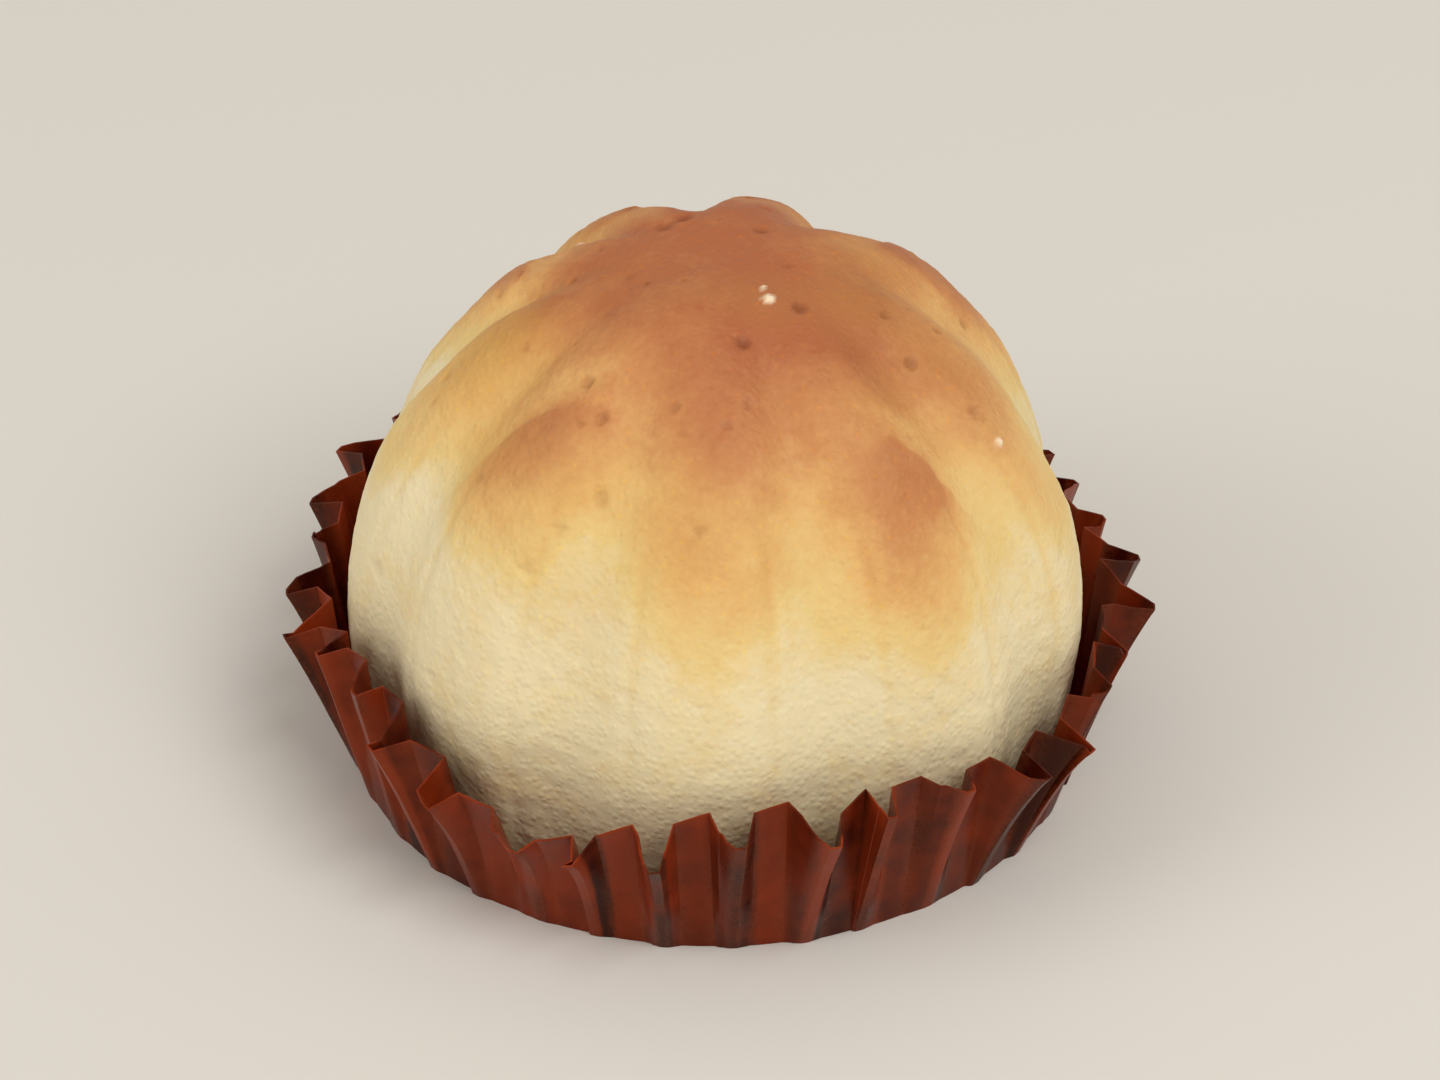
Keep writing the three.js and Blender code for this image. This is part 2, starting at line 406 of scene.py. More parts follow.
# The petals that the mould left over the ridges. Each has, in degrees, the azimuth of its tip, the tip's
# angle from the crown, how far before and after the tip its edge has come down by PETAL_DROP, how far
# past the tip it is boldest and how far from there it fades. Then comes how curved its edge is, where 1
# is straight and 4 is square-shouldered, and how bold it is.
PETALS = (
    (-37, 34.5, 23, 26, -10, 15, 1.9, 0.85),
    (35, 41.5, 24, 19, 9, 12, 2.4, 0.72),
    (-84, 26, 24, 20, -2, 14, 1.5, 0.5),
    (121, 30, 22, 20, 0, 14, 1.6, 0.8),
    (168, 33, 18, 20, 3, 13, 2, 0.7),
    (-150, 30, 20, 20, -3, 14, 1.5, 0.9),
    (-117, 36, 20, 20, 0, 12, 2, 0.7),
)
PETAL_DROP = 20
PETAL_FADE = 0.6  # a petal begins to fade at this share of the angle where the last of it ends
RAGGED = ((0.8, 19, 0), (0.6, 31, 40))  # degrees, waves round the dome and down it of a petal's edge
# The pale band over a petal, of the petal's own values: how far past the tip it is boldest, how far from
# there it fades, and its depth. It lies HALO_AWAY of its half width over the edge.
HALO_BOLDEST, HALO_SPREAD, HALO_DEPTH = 0.6, 0.8, 0.5
HALO_AWAY = 1.2
# The fine line along a groove's edge: its place between ridge and groove, its width in that measure, and
# how many times its first angle from the crown it is full at.
LIP_PLACE, LIP_WIDTH, LIP_FULL = 0.55, 0.09, 1.4
# Places where the crust is browner or paler. Most are where the oven browned it unevenly, and some are
# painted light and shade: the paler place at azimuth 92 is a painted highlight, and the browner one at
# azimuth 28 is partly a painted shadow. Each has its azimuth, its angle from the crown and its size in
# degrees, then how much browner it is and how much yellower.
UNEVEN_AND_PAINTED_LIGHT = (
    (63, 21, 12, 0.3, 0),
    (-84, 21, 13, 0.13, 0.1),
    (92, 27, 17, -0.32, 0),
    (82, 60, 11, -0.2, 0),
    (58, 67, 8, 0.08, 0.15),
    (28, 64, 10, 0.16, 0.1),
    (34, 28, 8, -0.17, 0),
    (45, 41, 6, -0.12, 0),
    (-30, 17, 9, -0.12, 0),
    (-61, 50, 9, 0.22, 0.5),
    (-46, 66, 8, -0.14, 0),
    (-81, 40, 11, -0.02, 0.9),
    (-53, 26, 8, -0.12, 0),
    (15, 57, 8, 0.06, 0.2),
    (-24, 62, 10, 0.08, 0.5),
    (150, 48, 12, 0, 0.6),
    (-140, 55, 11, 0.05, 0.5),
)
# The azimuth, angle from the crown and size, in degrees, of each pale crumb that stuck to the crust.
CRUMBS = ((35, 12, 1.1), (41, 9.5, 0.6), (68, 53, 0.8), (-128, 30, 0.9), (170, 44, 0.9))
CRUMB_EDGE = (0.25, 0.7)  # a crumb's colour begins and is full at these shares of its height
PALE_PITS = 0.03  # how likely a pit is in pale dough, where 1 is in the browned crown
PIT_SIZES, PIT_DEEPNESS = (0.4, 1), (0.5, 1)  # from the smallest pits to the largest
PIT_LOBES, PIT_RAGGED = (2, 4), 0.18  # lobes of a pit's outline, below the second, and how deep they are


def dough_ball(dough):
    """A cube, cut finely and blown up to a ball."""
    clear_hands()
    bpy.ops.mesh.primitive_cube_add(size=2 * dough.radius, location=(0, 0, 0))
    ball = bpy.context.object
    ball.name = "maamoul_cookie"
    ball.data.name = "maamoul_cookie"
    bpy.ops.object.mode_set(mode="EDIT")
    bpy.ops.mesh.select_all(action="SELECT")
    for cuts in BALL_CUTS:
        bpy.ops.mesh.subdivide(number_cuts=cuts)
    bpy.ops.transform.tosphere(value=1)
    bpy.ops.object.mode_set(mode="OBJECT")
    return ball


def outline_at(dough, descent):
    """The plain outline's radius and height, for a descent from 0 at the crown to 1 at the underside's
    middle, and a share that falls from 1 to 0 across the underside."""
    rise = np.cos(np.clip(descent / DOME_SHARE, 0, 1) * math.pi / 2)
    dome_radius = dough.radius * (1 - rise**dough.dome_roundness) ** (1 / dough.shoulder_roundness)
    dome_height = mix(dough.widest_height, dough.height, rise)
    tuck = np.clip((descent - DOME_SHARE) / FOOT_SHARE, 0, 1) * math.pi / 2
    foot_radius = mix(dough.underside_radius, dough.radius, np.cos(tuck))
    foot_height = dough.widest_height * (1 - np.sin(tuck))
    inward = np.clip((1 - descent) / (1 - DOME_SHARE - FOOT_SHARE), 0, 1)
    radius = np.where(descent < DOME_SHARE, dome_radius, foot_radius * inward)
    height = np.where(descent < DOME_SHARE, dome_height, foot_height)
    return radius, height, inward


def groove_at(dough, azimuth):
    """0 along the middle of each ridge and 1 along the middle of each groove."""
    strayed = dough.one_sided_stray * np.cos(azimuth)
    strayed -= dough.two_sided_stray * np.cos(2 * (azimuth - dough.crowded_side))
    return np.sin((dough.flutes * azimuth + strayed + dough.flute_turn) / 2) ** 2


def petals_at(dough, azimuth, steepness):
    """How boldly a petal stands out at a place, 1 being just inside its edge, and the same for the pale
    band over it."""
    petal, halo = np.zeros_like(azimuth), np.zeros_like(azimuth)
    ragged = sum(size * np.sin(across * azimuth + down * steepness) for size, across, down in RAGGED)
    ragged = np.radians(ragged)
    for tip_azimuth, tip, before, after, boldest, width, curve, boldness in PETALS:
        aside = (np.degrees(azimuth) - tip_azimuth + 180) % 360 - 180
        edge = tip + PETAL_DROP * (np.abs(aside) / np.where(aside < 0, before, after)) ** curve
        inside = steepness - np.radians(edge) + ragged
        lasting = boldness * smoothstep(steepness, dough.petal_foot, PETAL_FADE * dough.petal_foot)
        bold = lasting * np.exp(-(((aside - boldest) / width) ** 2))
        step = smoothstep(inside, -dough.petal_edge / 2, dough.petal_edge / 2)
        faded = np.exp(-((np.maximum(inside, 0) / dough.petal_length) ** 2))
        petal = np.maximum(petal, bold * step * faded)
        above = lasting * np.exp(-(((aside - HALO_BOLDEST * boldest) / (HALO_SPREAD * width)) ** 2))
        halo = np.maximum(halo, above * np.exp(-((inside / dough.halo_width + HALO_AWAY) ** 2)))
    return petal, halo


def pressed_depth(dough, azimuth, radius, height, groove):
    behind = smoothstep(np.abs(azimuth), dough.deeper_from, dough.deepest_from)
    side = mix(dough.front_grooves, dough.back_grooves, behind)
    foot = mix(dough.foot_flutes, 1, smoothstep(height, 0, dough.widest_height))
    crown = smoothstep(radius, dough.smooth_crown, dough.full_flutes)
    crown = np.where(height > dough.widest_height, crown, 1)
    return dough.flute_depth * groove**dough.groove_narrowness * side * foot * crown


def swell_at(azimuth, height):
    return sum(size * np.sin(waves * azimuth + height / climb) for size, waves, climb in SWELLS)


def press(dough, ball):
    """Moves the ball's points to the form that the mould gives, and returns what the baking needs to know."""
    points = points_of(ball)
    points /= np.linalg.norm(points, axis=1, keepdims=True)
    azimuth = np.arctan2(points[:, 0], -points[:, 1])
    descent = np.arccos(np.clip(points[:, 2], -1, 1)) / math.pi
    radius, height, inward = outline_at(dough, descent)
    groove = groove_at(dough, azimuth)
    steepness = np.arctan2(radius, height - dough.widest_height)
    petal, halo = petals_at(dough, azimuth, steepness)
    even = np.where(height > dough.widest_height, smoothstep(radius, 0, dough.even_crown), 1)
    depth = pressed_depth(dough, azimuth, radius, height, groove) - even * swell_at(azimuth, height)
    depth += dough.petal_step * (HALO_DEPTH * halo - petal) * (height > dough.widest_height)
    lip = np.exp(-(((groove - LIP_PLACE) / LIP_WIDTH) ** 2))
    lip = lip * smoothstep(steepness, dough.lip_from, LIP_FULL * dough.lip_from)
    depth += dough.lip_depth * lip
    above = np.maximum(0, height - dough.widest_height)
    kept = 1 - depth * inward / np.maximum(np.hypot(radius, above), MM)
    kept = np.where(radius > 0, kept, 1)
    shaped = round_the_axis(azimuth, radius * kept, height - above + above * kept)
    shaped[:, 0] += dough.crown_lean * (height / dough.height) ** 2
    shift = middle_of(COOKIE_LOW, COOKIE_HIGH) - middle_of(shaped.min(axis=0), shaped.max(axis=0))
    shift[2] = COOKIE_LOW.z
    move_points(ball, shaped + shift)
    return azimuth, steepness, groove, petal, halo, lip


def nearness(azimuth, steepness, place_azimuth, place_steepness, size):
    """1 at a place of the dome, and less away from it, for a place and a size in degrees."""
    upright = math.radians(place_steepness)
    across = np.cos(azimuth - math.radians(place_azimuth))
    cosine = np.cos(steepness) * math.cos(upright) + np.sin(steepness) * math.sin(upright) * across
    return np.exp(-((np.degrees(np.arccos(np.clip(cosine, -1, 1))) / size) ** 2))


def browning_and_painted_light_at(baking, azimuth, steepness, groove, petal, halo, lip):
    """How brown the crust is, from 0 for pale dough to 1 for the crown, with some painted light and shade in
    it, and how ochre it is.
    """
    # The browning reaches further down at +X, partly uneven baking and partly painted shade.
    reach = mix(baking.ridge_reach, baking.groove_reach, groove) + baking.hot_and_shaded_reach * np.sin(azimuth)
    browned_and_painted_light = np.clip((reach - steepness) / (reach - baking.crown_angle), 0, 1) ** baking.swiftness
    blush = baking.blush * smoothstep(steepness, baking.blush_reach, baking.blush_from)
    browned_and_painted_light = mix(blush, 1, browned_and_painted_light) + baking.patch * petal - baking.halo_pallor * halo
    # Painted shade in part: browner on the +X shoulder and paler at -X.
    browned_and_painted_light += baking.hot_and_shaded_side * np.sin(azimuth) * np.sin(2 * np.minimum(steepness, math.pi / 2))
    browned_and_painted_light -= baking.groove_pallor * groove * smoothstep(steepness, baking.crown_angle, baking.groove_reach)
    # Painted shade along the fine lines at the grooves' edges
    browned_and_painted_light += baking.lip_shade * lip
    ochre = np.zeros_like(azimuth)
    # Uneven browning, with painted light and shade at some of these places
    for place_azimuth, place_steepness, size, browner, yellower in UNEVEN_AND_PAINTED_LIGHT:
        near = nearness(azimuth, steepness, place_azimuth, place_steepness, size)
        browned_and_painted_light += browner * near
        ochre = np.maximum(ochre, yellower * near)
    return np.maximum(browned_and_painted_light, 0), ochre


def outward_of(dough, points):
    """The way from the middle of the dome to each point."""
    away = points - np.array((0, 0, COOKIE_LOW.z + dough.widest_height))
    return away / np.linalg.norm(away, axis=1, keepdims=True)


def prick(dough, cookie, browned_and_painted_light, luck):
    """Leaves the pinholes of the steam, most of them where the crust is brown, and returns how deep in
    one each point is."""
    points = points_of(cookie)
    outward = outward_of(dough, points)
    weight = (PALE_PITS + browned_and_painted_light**2) * (outward[:, 2] > 0)
    chosen = luck.choice(len(points), size=dough.pits, replace=False, p=weight / weight.sum())
    hollow = np.zeros(len(points))
    for place in chosen:
        size = luck.uniform(*PIT_SIZES)
        lobes, turned = luck.integers(*PIT_LOBES), luck.uniform(0, FULL_TURN)
        offset = points - points[place]
        ragged = 1 + PIT_RAGGED * np.sin(lobes * np.arctan2(offset[:, 2], offset[:, 0]) + turned)
        away = np.linalg.norm(offset, axis=1) / (dough.pit_radius * size * ragged)
        hollow = np.maximum(hollow, np.maximum(0, 1 - away**2) * size * luck.uniform(*PIT_DEEPNESS))
    move_points(cookie, points - outward * (hollow * dough.pit_depth)[:, None])
    return hollow


def stick_crumbs(dough, cookie, azimuth, steepness):
    """Raises the pale crumbs, and returns where their colour is."""
    crumb = np.zeros_like(azimuth)
    for place in CRUMBS:
        crumb = np.maximum(crumb, nearness(azimuth, steepness, *place))
    points = points_of(cookie)
    move_points(cookie, points + outward_of(dough, points) * (crumb * dough.crumb_lift)[:, None])
    return smoothstep(crumb, *CRUMB_EDGE)


# How browned the dough is, with its painted light and shade, where it takes each of its colours.
BAKED_STOPS = ((0, "raw"), (0.2, "cream"), (0.45, "gold"), (0.7, "toast"), (1, "crown"))
BELT_CLOUDS, BELT_SHARE = 0.3, 0.55  # strength of the ochre clouds in the belt, and of all ochre
SPECK_SHARE = 0.35  # strength of the pale specks of semolina


def dough_finish(baking):
    """Baked semolina: pale and sandy low down, golden in a belt, and toasted over the crown, with painted
    light and shade in its browning and painted shade in its pits.
    """
    material, tree = new_tree("baked_dough")
    place = add_node(tree, "TexCoord").outputs["Object"]
    mottle = noise(tree, place, size=3 * MM, detail=3)
    grain = noise(tree, place, size=0.5 * MM, detail=3, roughness=0.7)
    drift = noise(tree, place, size=11 * MM, detail=1)
    browned_and_painted_light = stray(tree, painted(tree, "browned_and_painted_light"), mottle, amount=0.35)
    browned_and_painted_light = stray(tree, browned_and_painted_light, grain, amount=0.22)
    ramp = add_node(tree, "ValToRGB", {"Fac": browned_and_painted_light})
    elements = ramp.color_ramp.elements
    while len(elements) < len(BAKED_STOPS):
        elements.new(0.5)
    for element, (position, chip) in zip(elements, BAKED_STOPS):
        element.position = position
        element.color = (*getattr(baking, chip), 1)
    crust = ramp.outputs["Color"]
    golden = spread(tree, browned_and_painted_light, low=0.15, high=0.45)
    belt = math_node(tree, "MULTIPLY", spread(tree, drift, low=0.5, high=0.68), golden)
    belt = math_node(tree, "ADD", math_node(tree, "MULTIPLY", belt, BELT_CLOUDS), painted(tree, "ochre"))
    crust = blend_colours(tree, math_node(tree, "MULTIPLY", belt, BELT_SHARE), crust, baking.ochre)
    specks = cells(tree, place, size=0.7 * MM)
    pale_specks = math_node(tree, "MULTIPLY", spread(tree, specks, low=0.22, high=0.08), SPECK_SHARE)
    crust = blend_colours(tree, pale_specks, crust, baking.cream, "SOFT_LIGHT")
    # Painted shade in the pits, darker where they are deeper
    pits = math_node(tree, "MULTIPLY", painted(tree, "pit_shade"), spread(tree, browned_and_painted_light, low=-0.3, high=2))
    crust = blend_colours(tree, pits, crust, baking.pit_shade, "MULTIPLY")
    crust = blend_colours(tree, painted(tree, "crumb"), crust, baking.crumb)
    roughness = add_node(
        tree,
        "MapRange",
        {"Value": browned_and_painted_light, "To Min": baking.roughness, "To Max": baking.crown_roughness},
    ).outputs["Result"]
    grit = spread(tree, cells(tree, place, size=0.42 * MM), low=0.55, high=0.1)
    height = stray(tree, grain, grit, amount=0.8)
    bump = add_node(tree, "Bump", {"Height": height, "Strength": 0.5, "Distance": 0.08 * MM})
    shader = add_node(
        tree,
        "BsdfPrincipled",
        {
            "Base Color": crust,
            "Roughness": roughness,
            "Specular IOR Level": 0.3,
            "Subsurface Weight": 0.15,
            "Subsurface Radius": (1, 0.5, 0.25),
            "Subsurface Scale": 1.2 * MM,
            "Normal": bump.outputs["Normal"],
        },
    )
    finish_with(tree, shader.outputs["BSDF"])
    return material


class MAAMOUL_OT_press_cookie(bpy.types.Operator):
    """Press the cookie in its fluted mould, bake it and give it its crumb"""

    bl_idname = "maamoul.press_cookie"
    bl_label = "Press Cookie"

    def execute(self, context):
        dough, baking = context.scene.maamoul_dough, context.scene.maamoul_baking
        luck = np.random.default_rng(dough.seed)
        cookie = dough_ball(dough)
        form = press(dough, cookie)
        browned_and_painted_light, ochre = browning_and_painted_light_at(baking, *form)
        pits = prick(dough, cookie, browned_and_painted_light, luck)
        crumbs = stick_crumbs(dough, cookie, *form[:2])
        ruffle(cookie, "dents", dough.dent_size, dough.dent_depth, detail=0)
        ruffle(cookie, "crumb", dough.crumb_size, dough.crumb_depth)
        for name, values in (("browned_and_painted_light", browned_and_painted_light), ("ochre", ochre), ("pit_shade", pits), ("crumb", crumbs)):
            paint(cookie, name, values)
        cookie.data.materials.append(dough_finish(baking))
        bpy.ops.object.shade_smooth()
        hand_over(cookie, "cookie")
        return {"FINISHED"}


# ---------------------------------------------------------------------------------------------------
# The paper case
# ---------------------------------------------------------------------------------------------------

# How many strips of paper cross an outer fold, the slope after it, an inner fold and the next slope.
STRIPS = (3, 5, 5, 5)
NEXT_SLOPE = 3  # the last of these, halfway along which the next pleat begins
OUTER_MIDDLE, INNER_MIDDLE = 0.25, 0.75  # where the middles of the folds lie in a pleat's width
FLOOR_RINGS = 5
WALL_RINGS = 18
PLEAT_STRAY = 0.006  # how far the pleats stray along the rim, in radians
RIM_STRAY = 0.12 * MM  # and in height
PANEL_LIGHTS = 4  # places of different painted light across each pleat
CRISP_FOLD = math.radians(30)  # a sharper fold than this stays crisp
LIGHT_THROUGH = 0.3  # share of the light that goes through the paper, not back from it
WORN_AND_GLINT_SHARE = 0.5  # how much of the colour of a worn fold, partly wear and partly a painted glint, shows along a crease


def case_pan(case, columns):
    """A plain round pan of paper: a small disc whose edge is drawn out over the floor and up the wall."""
    clear_hands()
    start = case.floor_radius / FLOOR_RINGS
    bpy.ops.mesh.primitive_circle_add(vertices=columns, radius=start, fill_type="TRIFAN")
    pan = bpy.context.object
    pan.name = "pleated_case"
    pan.data.name = "pleated_case"
    bpy.ops.object.mode_set(mode="EDIT")
    bpy.ops.mesh.select_mode(type="EDGE")
    bpy.ops.mesh.select_all(action="DESELECT")
    bpy.ops.mesh.select_non_manifold()
    for ring in range(1, FLOOR_RINGS):
        bpy.ops.mesh.extrude_edges_move()
        wider = (ring + 1) / ring
        bpy.ops.transform.resize(value=(wider, wider, 1), center_override=(0, 0, 0))
    for _ in range(WALL_RINGS):
        lift = {"value": (0, 0, case.wall_height / WALL_RINGS)}
        bpy.ops.mesh.extrude_edges_move(TRANSFORM_OT_translate=lift)
    bpy.ops.object.mode_set(mode="OBJECT")
    return pan


def fold_columns(case, luck):
    """For each column of the sheet: its azimuth, its share of a pleat's depth, how deep that pleat is,
    and how close it is to a crease."""
    places, shares, deepness, creases = [], [], [], []
    slants = case.panel_slant * luck.uniform(0.2, 1, case.pleats)
    for pleat in range(case.pleats):
        corners = []
        for next_pleat in (pleat, pleat + 1):
            wander = case.fold_wander * math.sin(case.fold_rhythm * (next_pleat % case.pleats))
            for middle, width in ((OUTER_MIDDLE, case.outer_fold), (INNER_MIDDLE, case.inner_fold)):
                corners.append(next_pleat + middle - width / 2 + wander)
                corners.append(next_pleat + middle + width / 2 + wander)
        ends = (1, 1, slants[pleat], 0, 1)
        for strip, steps in enumerate(STRIPS):
            for step in range(steps):
                along = step / steps
                places.append(mix(corners[strip], corners[strip + 1], along))
                shares.append(mix(ends[strip], ends[strip + 1], along))
                own = pleat if strip < NEXT_SLOPE or along < 0.5 else (pleat + 1) % case.pleats
                deepness.append(1 + case.pleat_wander * math.sin(case.pleat_rhythm * own))
                creases.append(1 if step == 0 else 0)
    azimuth = np.array(places) / case.pleats * FULL_TURN
    return azimuth, np.array(shares), np.array(deepness), np.array(creases, dtype=float)


def soften(values):
    """Averages each value with its neighbours round the case."""
    return (np.roll(values, 1) + 2 * values + np.roll(values, -1)) / 4


def fold_pan(case, pan, columns, luck):
    """Moves the pan's points to the pleats, and paints how close each is to a crease, its painted light
    and how far up the wall it is."""
    azimuths, shares, deepness, creases = fold_columns(case, luck)
    shares = shares * deepness
    points = points_of(pan)
    bearing = np.arctan2(points[:, 0], -points[:, 1]) % FULL_TURN
    column = np.rint(bearing / FULL_TURN * columns).astype(int) % columns
    radius = np.hypot(points[:, 0], points[:, 1])
    wall = points[:, 2] / case.wall_height
    azimuth = azimuths[column]
    pleat = (column / columns * case.pleats).astype(int)
    lean = luck.normal(0, PLEAT_STRAY, case.pleats)[pleat]
    lean_over = luck.normal(case.pleat_lean, case.lean_stray, case.pleats)[pleat]
    lift = luck.normal(0, RIM_STRAY, case.pleats)[pleat]
    depth = shares[column] * mix(case.depth_at_floor, case.depth_at_rim, wall)
    bulge = case.rim_bulge * wall * np.sin(azimuth + case.bulge_turn) ** 2
    away = (azimuth - case.splayed_side + math.pi) % FULL_TURN - math.pi
    splay = np.exp(-((away / case.splay_width) ** 2)) * wall**2
    wave = case.rim_wave * np.sin(case.rim_waves * azimuth) - case.rim_slant * np.sin(azimuth)
    rim = (wave - case.rim_dip * shares[column] + lift) * np.maximum(wall, 0) ** 3 - case.splay_down * splay
    on_wall = radius > case.floor_radius * (1 - 0.5 / FLOOR_RINGS)
    outward = wall * case.wall_flare + bulge + depth + case.splay_out * splay
    reach = np.where(on_wall, radius + outward, radius)
    lean = (lean + shares[column] * lean_over * FULL_TURN / case.pleats) * wall
    turned = azimuth + np.where(on_wall, lean, 0)
    shaped = round_the_axis(turned, reach, points[:, 2] + rim)
    centre = radius < MM
    shaped[centre] = points[centre]
    shift = middle_of(CASE_LOW, CASE_HIGH) - middle_of(shaped.min(axis=0), shaped.max(axis=0))
    shift[2] = case.paper / 2
    move_points(pan, shaped + shift)
    paint(pan, "crease", soften(creases)[column] * on_wall * 2)
    # Painted light and shade of each quarter of a pleat, at random
    panel_light = case.panel_light_stray * luck.uniform(-0.5, 0.5, PANEL_LIGHTS * case.pleats)
    paint(pan, "panel_light", panel_light[(PANEL_LIGHTS * column / columns * case.pleats).astype(int)] * on_wall)
    paint(pan, "wall", wall)
    group = pan.vertex_groups.new(name="wall")
    for index, weight in enumerate(np.clip(wall * 2, 0, 1)):
        group.add([index], float(weight), "REPLACE")


def paper_finish(case):
    """Dark glazed paper with painted light and shade: cloudy with fibres, its panels lit and shaded at
    random, mixed towards the shaded paper low on the wall, paler along its creases by wear and a painted
    glint, and redder where light comes through.
    """
    material, tree = new_tree("brown_paper")
    place = add_node(tree, "TexCoord").outputs["Object"]
    clouds = noise(tree, place, size=2.4 * MM, detail=4, roughness=0.55)
    fibres = noise(tree, place, size=0.18 * MM, detail=3)
    # Painted light and shade: mixes the lit and the shaded paper by clouds and by each panel's painted light
    light = math_node(tree, "ADD", spread(tree, clouds, low=0.2, high=0.8), painted(tree, "panel_light"))
    # The mix goes towards the shaded paper lower down the wall and on the floor
    upward = spread(tree, painted(tree, "wall"), low=-1.2, high=0.7)
    light = math_node(tree, "MULTIPLY", light, upward)
    paper = blend_colours(tree, light, case.shaded_paper, case.lit)
    # Wear and a painted glint along the creases, broken by the fibres
    crease_fibres = spread(tree, fibres, low=0.3, high=0.75)
    worn_and_glint = math_node(tree, "MULTIPLY", painted(tree, "crease"), crease_fibres)
    paper = blend_colours(tree, math_node(tree, "MULTIPLY", worn_and_glint, WORN_AND_GLINT_SHARE), paper, case.worn_and_glint)
    roughness = stray(tree, case.roughness, clouds, amount=0.3)
    bump = add_node(tree, "Bump", {"Height": fibres, "Strength": 0.25, "Distance": 0.03 * MM})
    glazed = add_node(
        tree,
        "BsdfPrincipled",
        {
            "Base Color": paper,
            "Roughness": roughness,
            "Specular IOR Level": 0.4,
            "Specular Tint": (*case.glaze, 1),
            "Normal": bump.outputs["Normal"],
        },
    )
    glow = add_node(tree, "BsdfTranslucent", {"Color": (*case.through, 1), "Normal": bump.outputs["Normal"]})
    both = {0: LIGHT_THROUGH, 1: glazed.outputs["BSDF"], 2: glow.outputs["BSDF"]}
    finish_with(tree, add_node(tree, "MixShader", both).outputs["Shader"])
    return material


class MAAMOUL_OT_fold_case(bpy.types.Operator):
    """Fold the pleated paper case round the cookie's foot"""

    bl_idname = "maamoul.fold_case"
    bl_label = "Fold Paper Case"

    def execute(self, context):
        case = context.scene.maamoul_case
        luck = np.random.default_rng(context.scene.maamoul_dough.seed + 1)
        columns = case.pleats * sum(STRIPS)
        pan = case_pan(case, columns)
        fold_pan(case, pan, columns, luck)
        bpy.context.view_layer.objects.active = pan
        bpy.ops.object.mode_set(mode="EDIT")
        bpy.ops.mesh.select_all(action="SELECT")
        bpy.ops.mesh.normals_make_consistent(inside=False)
        bpy.ops.object.mode_set(mode="OBJECT")
        ruffle(pan, "crumples", case.crumple_size, case.crumple_depth, group="wall")
        thickness = pan.modifiers.new("thickness", "SOLIDIFY")
        thickness.thickness = case.paper
        thickness.offset = 0
        apply_modifier(pan, thickness)
        pan.data.materials.append(paper_finish(case))
        bpy.ops.object.shade_smooth_by_angle(angle=CRISP_FOLD)
        hand_over(pan, "paper_case")
        return {"FINISHED"}


# ---------------------------------------------------------------------------------------------------
# The stage
# ---------------------------------------------------------------------------------------------------

# Azimuth and elevation in degrees, and distance, of the stronger lamp and the weaker one.
KEY_PLACE = (42, 52, 0.75)
FILL_PLACE = (-70, 30, 0.8)
NEAREST_SEEN = 10 * MM  # from the camera


def seen_from(azimuth, elevation, distance):
    """A place round the cookie, for angles in radians."""
    flat = distance * math.cos(elevation)
    return Vector((flat * math.sin(azimuth), -flat * math.cos(azimuth), distance * math.sin(elevation)))


def aim(thing, target):
    thing.rotation_euler = (target - thing.location).to_track_quat("-Z", "Y").to_euler()


def stand_lamp(name, place, watts, size, target):
    azimuth, elevation, distance = place
    where = target + seen_from(math.radians(azimuth), math.radians(elevation), distance)
    bpy.ops.object.light_add(type="AREA", location=where)
    lamp = bpy.context.object
    lamp.name = name
    lamp.data.energy = watts
    lamp.data.size = size
    aim(lamp, target)


def lay_floor(studio):
    clear_hands()
    bpy.ops.mesh.primitive_plane_add(size=studio.floor_size, location=(0, 0, 0))
    floor = bpy.context.object
    floor.name = "floor"
    material, tree = new_tree("pale_floor")
    surface = {"Base Color": (*studio.floor, 1), "Roughness": 0.8, "Specular IOR Level": 0.2}
    finish_with(tree, add_node(tree, "BsdfPrincipled", surface).outputs["BSDF"])
    floor.data.materials.append(material)


def light_sky(studio):
    world = bpy.data.worlds.new("soft_sky")
    world.use_nodes = True
    background = world.node_tree.nodes["Background"]
    background.inputs["Color"].default_value = (*studio.sky, 1)
    background.inputs["Strength"].default_value = studio.sky_strength
    bpy.context.scene.world = world


def stand_camera(studio, target):
    bpy.ops.object.camera_add(location=target + seen_from(0, studio.elevation, studio.distance))
    camera = bpy.context.object
    camera.name = "camera"
    camera.data.lens = studio.lens
    camera.data.clip_start = NEAREST_SEEN
    camera.data.dof.use_dof = False
    aim(camera, target)
    bpy.context.scene.camera = camera


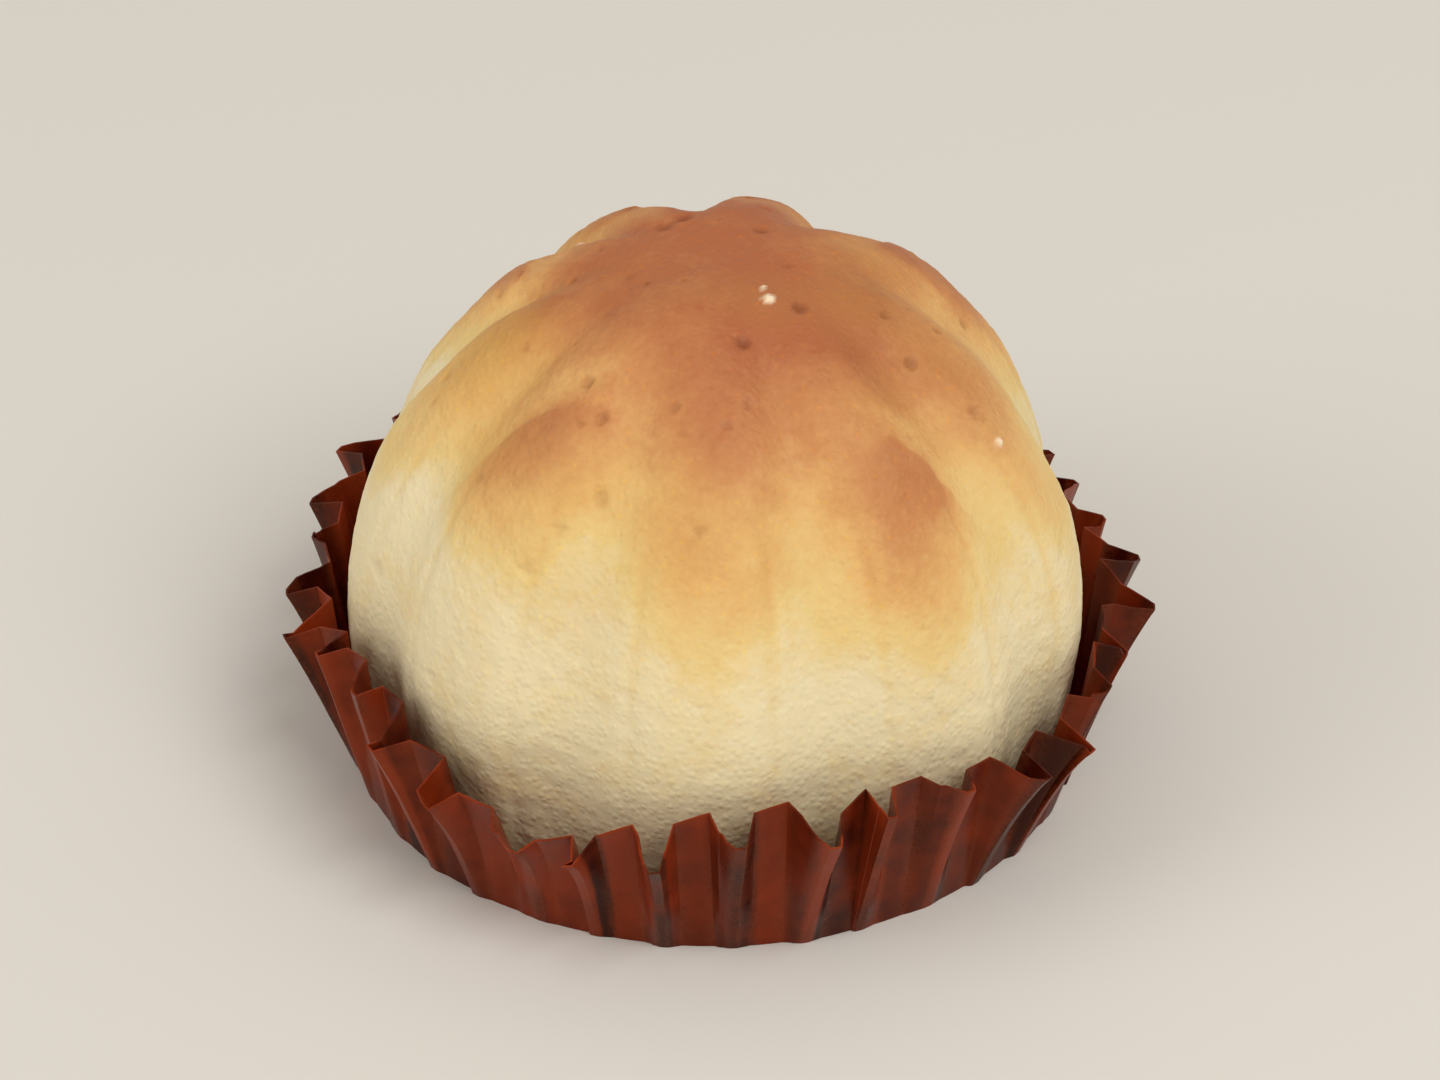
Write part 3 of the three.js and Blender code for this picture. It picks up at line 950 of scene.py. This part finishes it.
class MAAMOUL_OT_set_stage(bpy.types.Operator):
    """Lay the pale floor, and stand the soft lamps and the camera round it"""

    bl_idname = "maamoul.set_stage"
    bl_label = "Set Stage"

    def execute(self, context):
        studio = context.scene.maamoul_studio
        target = Vector((0, 0, studio.aim_height))
        context.scene.view_settings.view_transform = "Standard"
        lay_floor(studio)
        light_sky(studio)
        stand_lamp("key_lamp", KEY_PLACE, studio.key_power, studio.lamp_size, target)
        stand_lamp("fill_lamp", FILL_PLACE, studio.fill_power, studio.lamp_size, target)
        stand_camera(studio, target)
        return {"FINISHED"}


# ---------------------------------------------------------------------------------------------------
# The sidebar
# ---------------------------------------------------------------------------------------------------

GROUPS = {
    "maamoul_dough": MaamoulDough,
    "maamoul_baking": MaamoulBaking,
    "maamoul_case": MaamoulCase,
    "maamoul_studio": MaamoulStudio,
}
OPERATORS = (MAAMOUL_OT_set_stage, MAAMOUL_OT_press_cookie, MAAMOUL_OT_fold_case)


class MAAMOUL_PT_sidebar(bpy.types.Panel):
    bl_label = "Maamoul"
    bl_space_type = "VIEW_3D"
    bl_region_type = "UI"
    bl_category = "Maamoul"

    def draw(self, context):
        for operator in OPERATORS:
            self.layout.operator(operator.bl_idname)
        for name in GROUPS:
            group = getattr(context.scene, name)
            box = self.layout.box()
            box.label(text=name.replace("_", " ").title())
            for setting in group.bl_rna.properties:
                if setting.identifier not in {"rna_type", "name"}:
                    box.prop(group, setting.identifier)


def register():
    for group in (*GROUPS.values(), *OPERATORS, MAAMOUL_PT_sidebar):
        bpy.utils.register_class(group)
    for name, group in GROUPS.items():
        setattr(bpy.types.Scene, name, PointerProperty(type=group))


def unregister():
    for name in GROUPS:
        delattr(bpy.types.Scene, name)
    for group in (MAAMOUL_PT_sidebar, *OPERATORS, *GROUPS.values()):
        bpy.utils.unregister_class(group)


def main():
    register()
    bpy.ops.maamoul.set_stage()
    bpy.ops.maamoul.press_cookie()
    bpy.ops.maamoul.fold_case()


if __name__ == "__main__":
    main()
